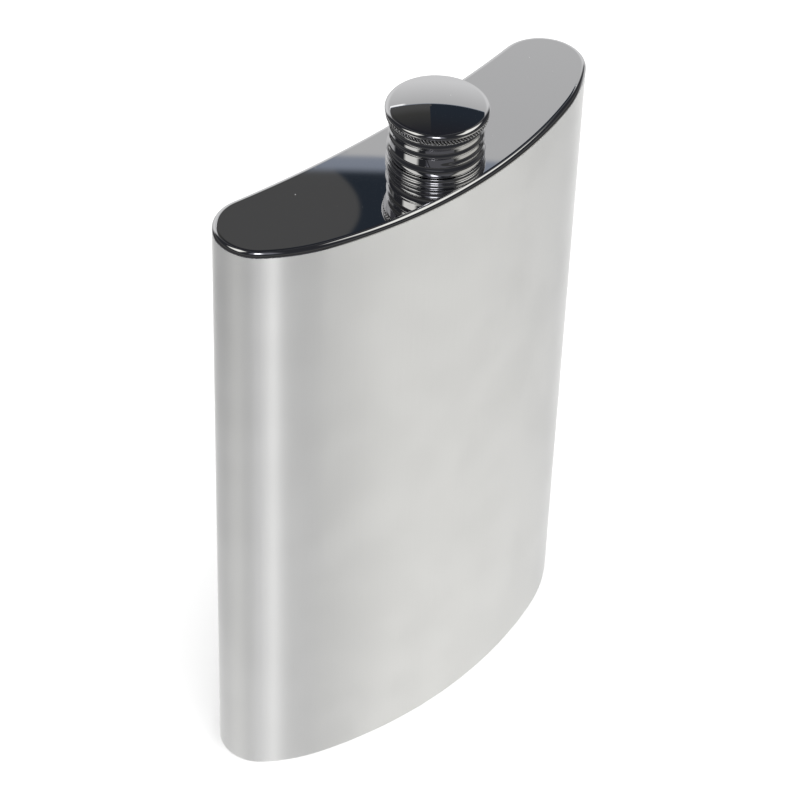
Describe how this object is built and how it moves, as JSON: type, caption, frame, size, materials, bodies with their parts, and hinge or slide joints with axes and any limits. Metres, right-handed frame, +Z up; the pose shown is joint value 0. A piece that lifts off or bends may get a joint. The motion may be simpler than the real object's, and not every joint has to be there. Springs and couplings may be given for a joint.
{
  "type": "hip flask",
  "caption": "Slim steel hip flask with a curved, kidney-shaped body, a polished top plate and a shallow domed screw cap with a milled grip ring.",
  "frame": {"origin": "on the surface that the flask stands on, under the middle of its body", "axes": "+Z up through the cap, +X across the width, and the convex face looks towards -Y"},
  "size_m": [0.094, 0.0274, 0.1551],
  "materials": {
    "satin_steel": "satin, very fine vertical brushing",
    "polished_steel": "mirror polished with faint hairline scratches",
    "seal": "matt, soft food-grade sealing disc"
  },
  "bodies": {
    "flask": {"body_wall": "satin_steel", "base_plate": "satin_steel", "top_plate": "polished_steel", "neck": "polished_steel", "neck_collar": "polished_steel"},
    "seal": {"cap_liner": "seal"},
    "cap": {"cap_crown": "polished_steel", "cap_skirt": "polished_steel"}
  },
  "joints": [
    {"name": "cap_lift", "type": "slide", "parent": "flask", "child": "seal", "axis": [0, 0, 1], "range_m": [0, 0.0127]},
    {"name": "cap_turn", "type": "hinge", "parent": "seal", "child": "cap", "pos_m": [0, -0.00338, 0.1529], "axis": [0, 0, 1], "range_deg": [0, 2160]}
  ],
  "couplings": [
    {"joint": "cap_lift", "follows": "cap_turn", "m_per_rad": 0.00033423}
  ]
}
